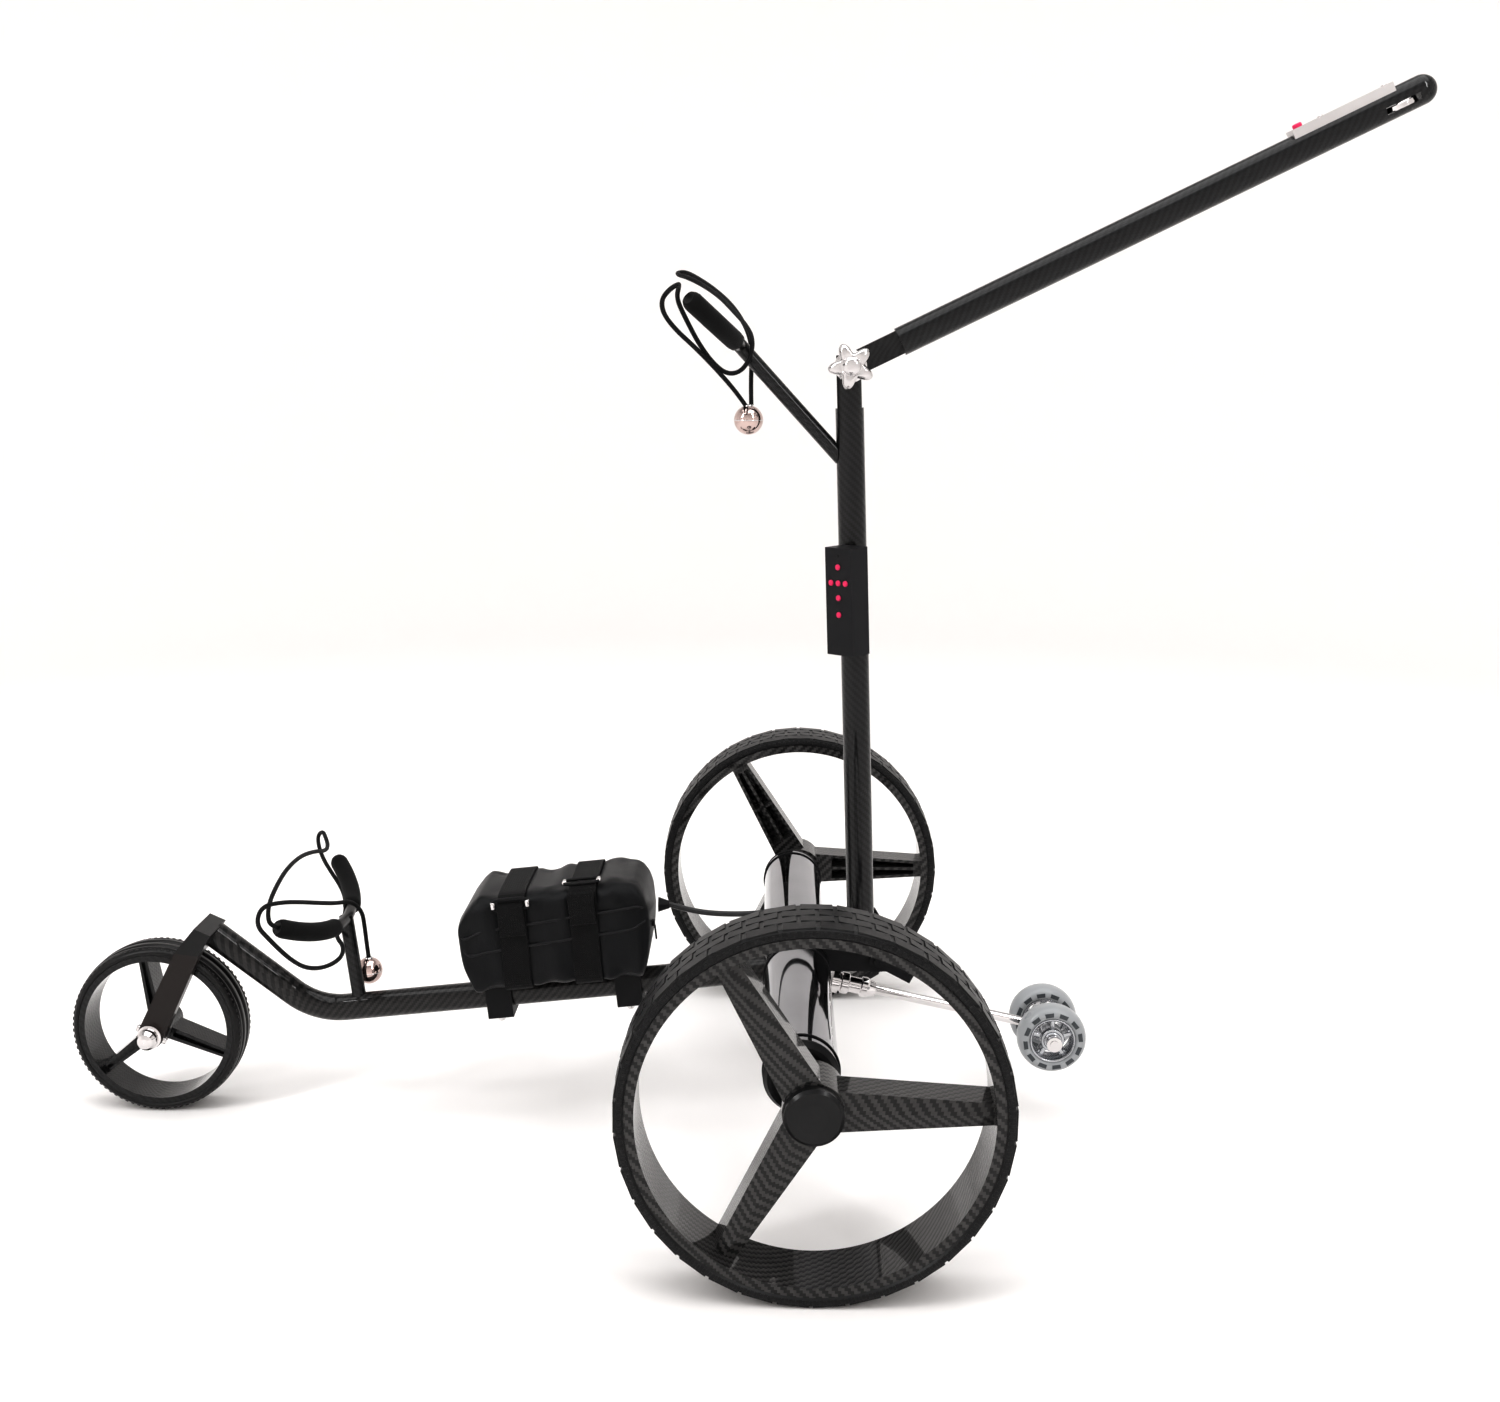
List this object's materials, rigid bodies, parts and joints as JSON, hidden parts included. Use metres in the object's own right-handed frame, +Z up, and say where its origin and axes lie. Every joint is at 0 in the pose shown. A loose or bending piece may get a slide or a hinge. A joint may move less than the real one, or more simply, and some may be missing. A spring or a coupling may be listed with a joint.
{
  "type": "electric golf trolley",
  "caption": "Three-wheeled motorised trolley for a golf bag, with a folding mast and grip, padded bag rests with elastic cords, a battery bag, a remote and a rear stabiliser.",
  "frame": {"origin": "centre of the bounding box on the floor, cords left out", "axes": "+X points to the rear, towards the grip; the single fork leg, knob and remote are on the -Y side; +Z up"},
  "size_m": [1.2174, 0.694, 0.9358],
  "materials": {
    "carbon": "clear-coated carbon twill",
    "fork_coat": "satin dark brown-black",
    "chrome": "polished",
    "polished_tube": "polished",
    "alloy": "satin",
    "motor_steel": "brushed",
    "black_plastic": "fine texture",
    "cord_ball": "chrome plated plastic",
    "case_plastic": "satin dark grey",
    "key_rubber": "matte red",
    "tread": "moulded",
    "soft_tyre": "translucent grey",
    "pad_foam": "matte foam",
    "elastic": "braided",
    "cable": "matte",
    "nylon": "woven nylon"
  },
  "bodies": {
    "chassis": {"chassis_tube": "carbon", "fork_crown": "carbon", "fork_leg": "fork_coat", "front_axle": "chrome", "front_axle_nut": "chrome", "motor_housing": "polished_tube", "motor_end_caps": "black_plastic", "gear_motor_left": "motor_steel", "gear_motor_right": "motor_steel", "mast_bracket": "black_plastic", "mast_hinge_pin": "chrome", "anti_tip_socket": "chrome", "lower_post": "carbon", "lower_saddle": "carbon", "lower_pads": "pad_foam", "lower_bungee": "elastic", "lower_bungee_ball": "cord_ball", "battery_bag": "nylon", "battery_pack": "black_plastic", "battery_straps": "nylon", "strap_buckles": "black_plastic", "tube_clamps": "black_plastic", "clamp_screws": "chrome", "battery_cable": "cable", "cable_plugs": "black_plastic"},
    "mast": {"mast_tube": "carbon", "upper_strut": "carbon", "upper_saddle": "carbon", "upper_pads": "pad_foam", "upper_bungee": "elastic", "upper_bungee_ball": "cord_ball", "remote_cradle": "black_plastic", "handle_bolt": "chrome"},
    "handle": {"handle_tube": "carbon", "control_plate": "alloy"},
    "control_button": {"control_button": "key_rubber"},
    "speed_wheel": {"speed_wheel": "chrome"},
    "star_knob": {"star_knob": "chrome"},
    "mast_latch": {"mast_latch": "black_plastic"},
    "remote": {"remote_front_case": "case_plastic", "remote_back_case": "case_plastic"},
    "drive_wheel_left": {"drive_wheel_left": "carbon", "drive_tyre_left": "tread", "wheel_hub_left": "black_plastic"},
    "drive_wheel_right": {"drive_wheel_right": "carbon", "drive_tyre_right": "tread", "wheel_hub_right": "black_plastic"},
    "front_wheel": {"front_wheel": "carbon", "front_tyre": "tread"},
    "stabiliser": {"anti_tip_rod": "chrome"},
    "stabiliser_wheel_left": {"anti_tip_hub_left": "alloy", "anti_tip_tyre_left": "soft_tyre"},
    "stabiliser_wheel_right": {"anti_tip_hub_right": "alloy", "anti_tip_tyre_right": "soft_tyre"},
    "key_forward": {"remote_button_forward": "key_rubber"},
    "key_left": {"remote_button_left": "key_rubber"},
    "key_stop": {"remote_button_stop": "key_rubber"},
    "key_right": {"remote_button_right": "key_rubber"},
    "key_back": {"remote_button_back": "key_rubber"},
    "key_pause": {"remote_button_pause": "key_rubber"}
  },
  "joints": [
    {"name": "drive_spin_left", "type": "hinge", "parent": "chassis", "child": "drive_wheel_left", "pos_m": [0.0845, -0.317, 0.15], "axis": [0, 1, 0], "continuous": true},
    {"name": "drive_spin_right", "type": "hinge", "parent": "chassis", "child": "drive_wheel_right", "pos_m": [0.0845, 0.317, 0.15], "axis": [0, 1, 0], "continuous": true},
    {"name": "front_spin", "type": "hinge", "parent": "chassis", "child": "front_wheel", "pos_m": [-0.5273, 0, 0.0814], "axis": [0, 1, 0], "continuous": true},
    {"name": "stabiliser_slide", "type": "slide", "parent": "chassis", "child": "stabiliser", "axis": [0.9774, 0, -0.2116], "range_m": [0, 0.03]},
    {"name": "stabiliser_spin_left", "type": "hinge", "parent": "stabiliser", "child": "stabiliser_wheel_left", "pos_m": [0.3115, -0.025, 0.0875], "axis": [0, 1, 0], "continuous": true},
    {"name": "stabiliser_spin_right", "type": "hinge", "parent": "stabiliser", "child": "stabiliser_wheel_right", "pos_m": [0.3115, 0.025, 0.0875], "axis": [0, 1, 0], "continuous": true},
    {"name": "mast_fold", "type": "hinge", "parent": "chassis", "child": "mast", "pos_m": [0.1361, 0, 0.188], "axis": [0, -1, 0], "range_deg": [0, 60]},
    {"name": "mast_latch_turn", "type": "hinge", "parent": "chassis", "child": "mast_latch", "pos_m": [0.1525, -0.022, 0.158], "axis": [0, 1, 0], "range_deg": [-70, 0]},
    {"name": "handle_fold", "type": "hinge", "parent": "mast", "child": "handle", "pos_m": [0.1197, 0, 0.696], "axis": [0, 1, 0], "range_deg": [-50, 75]},
    {"name": "star_knob_turn", "type": "hinge", "parent": "mast", "child": "star_knob", "pos_m": [0.1197, -0.028, 0.696], "axis": [0, 1, 0], "continuous": true},
    {"name": "remote_lift", "type": "slide", "parent": "mast", "child": "remote", "axis": [-0.0344, 0, 0.9994], "range_m": [0, 0.06]},
    {"name": "control_button_press", "type": "slide", "parent": "handle", "child": "control_button", "axis": [0.4305, 0, -0.9026], "range_m": [0, 0.0012], "stiffness_N_per_m": 400},
    {"name": "speed_wheel_turn", "type": "hinge", "parent": "handle", "child": "speed_wheel", "pos_m": [0.57903, 0, 0.91066], "axis": [-0.4305, 0, 0.9026], "continuous": true},
    {"name": "key_forward_press", "type": "slide", "parent": "remote", "child": "key_forward", "axis": [0.7067, 0.7071, 0.0243], "range_m": [0, 0.001], "stiffness_N_per_m": 300},
    {"name": "key_left_press", "type": "slide", "parent": "remote", "child": "key_left", "axis": [0.7067, 0.7071, 0.0243], "range_m": [0, 0.001], "stiffness_N_per_m": 300},
    {"name": "key_stop_press", "type": "slide", "parent": "remote", "child": "key_stop", "axis": [0.7067, 0.7071, 0.0243], "range_m": [0, 0.001], "stiffness_N_per_m": 300},
    {"name": "key_right_press", "type": "slide", "parent": "remote", "child": "key_right", "axis": [0.7067, 0.7071, 0.0243], "range_m": [0, 0.001], "stiffness_N_per_m": 300},
    {"name": "key_back_press", "type": "slide", "parent": "remote", "child": "key_back", "axis": [0.7067, 0.7071, 0.0243], "range_m": [0, 0.001], "stiffness_N_per_m": 300},
    {"name": "key_pause_press", "type": "slide", "parent": "remote", "child": "key_pause", "axis": [0.7067, 0.7071, 0.0243], "range_m": [0, 0.001], "stiffness_N_per_m": 300}
  ]
}
